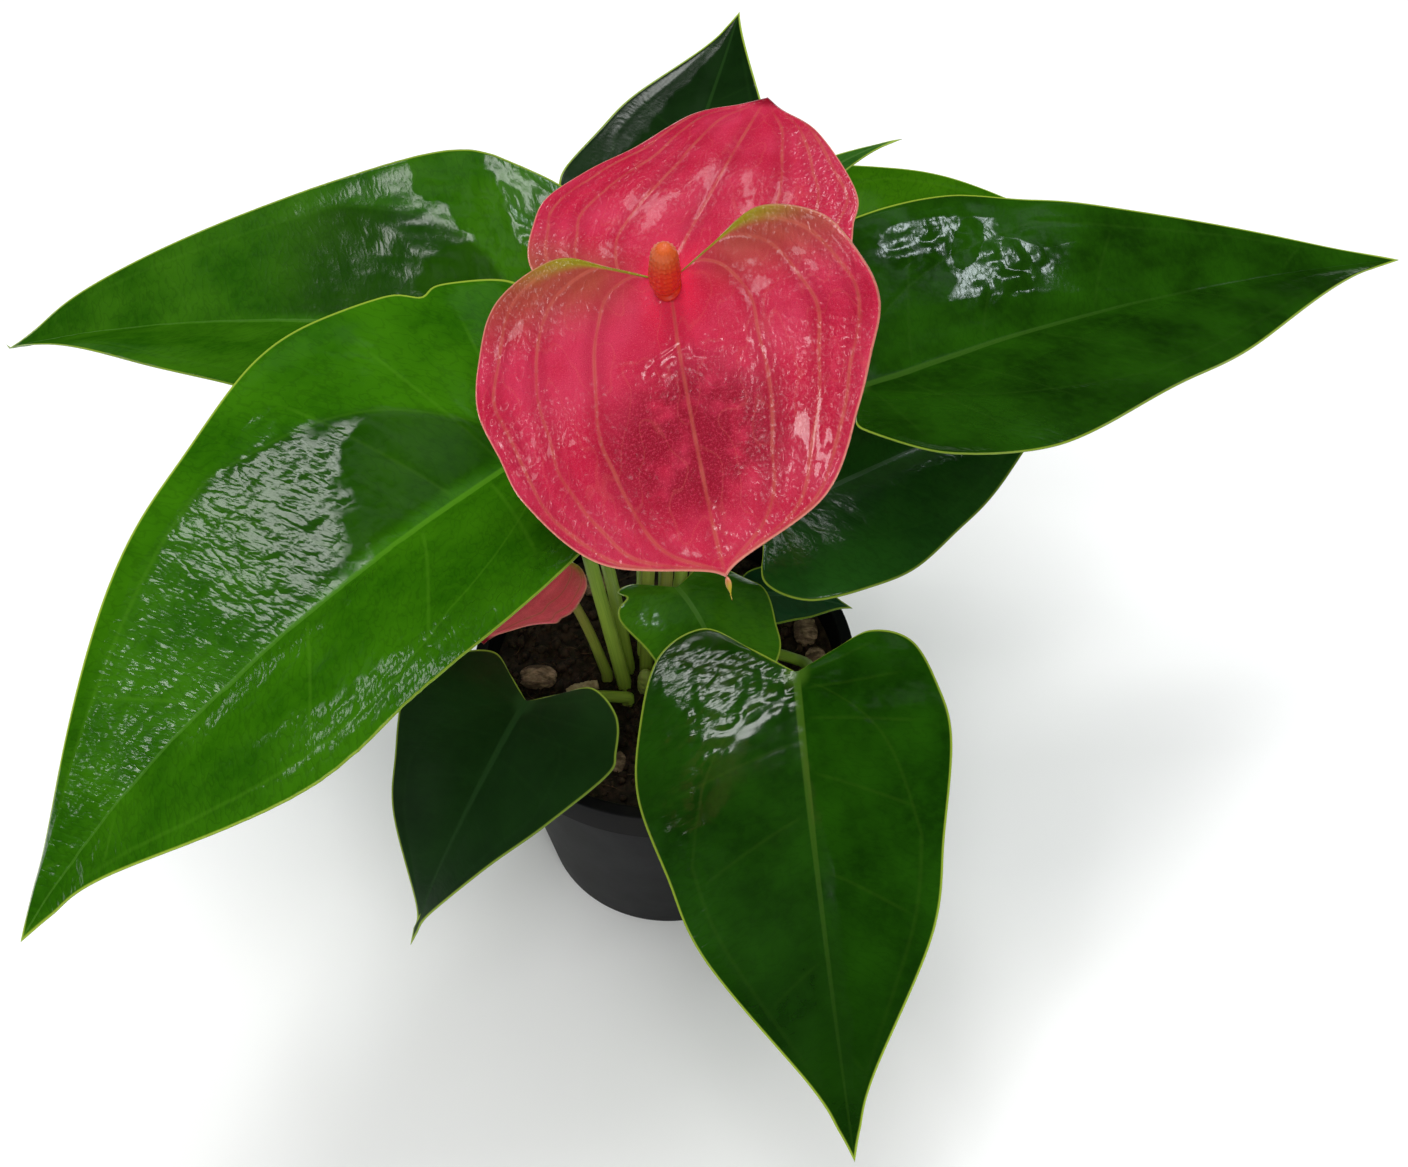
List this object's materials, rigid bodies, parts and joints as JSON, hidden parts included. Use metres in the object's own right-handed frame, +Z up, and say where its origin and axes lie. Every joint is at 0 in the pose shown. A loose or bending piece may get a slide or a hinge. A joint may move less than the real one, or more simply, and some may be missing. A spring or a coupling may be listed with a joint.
{
  "type": "potted flamingo flower",
  "caption": "Young flamingo flower with glossy heart-shaped leaves and coral-pink spathes, growing in a plain dark tapered nursery pot filled with potting mix.",
  "frame": {"origin": "centre of the pot's underside, on the surface it stands on", "axes": "+Z up; the front of the plant faces -Y, and +X is to the right of someone who looks at the front"},
  "size_m": [0.4272, 0.3304, 0.2929],
  "materials": {
    "pot_black": "satin black nursery-pot plastic",
    "peat": "moist dark peat mix, crumbly",
    "crown_green": "yellow-green rootstock",
    "dry_beige": "dry beige root",
    "bark": "rough bark",
    "leaf_bright": "glossy bright green blade",
    "leaf_green": "glossy mid green blade",
    "leaf_dark": "glossy dark green blade",
    "stalk_green": "smooth green stalk",
    "spathe_pink": "waxy coral-pink spathe",
    "spadix_orange": "waxy orange-red spadix"
  },
  "bodies": {
    "root": {"pot": "pot_black", "potting_mix": "peat", "crown": "crown_green", "root_stub": "dry_beige", "bark_chip_1": "bark", "bark_chip_2": "bark", "bark_chip_3": "bark", "bark_chip_4": "bark", "bark_chip_5": "bark", "leaf_1_blade": "leaf_bright", "leaf_1_stalk": "stalk_green", "leaf_2_blade": "leaf_green", "leaf_2_stalk": "stalk_green", "leaf_3_blade": "leaf_dark", "leaf_3_stalk": "stalk_green", "leaf_4_blade": "leaf_green", "leaf_4_stalk": "stalk_green", "leaf_5_blade": "leaf_bright", "leaf_5_stalk": "stalk_green", "leaf_6_blade": "leaf_green", "leaf_6_stalk": "stalk_green", "leaf_7_blade": "leaf_dark", "leaf_7_stalk": "stalk_green", "leaf_8_blade": "leaf_dark", "leaf_8_stalk": "stalk_green", "leaf_9_blade": "leaf_green", "leaf_9_stalk": "stalk_green", "leaf_10_blade": "leaf_bright", "leaf_10_stalk": "stalk_green", "leaf_11_blade": "leaf_dark", "leaf_11_stalk": "stalk_green", "spathe_front": "spathe_pink", "bloom_stalk_front": "stalk_green", "spadix_front": "spadix_orange", "spathe_rear": "spathe_pink", "bloom_stalk_rear": "stalk_green", "spadix_rear": "spadix_orange", "spathe_low": "spathe_pink", "bloom_stalk_low": "stalk_green", "spadix_low": "spadix_orange"}
  },
  "joints": []
}
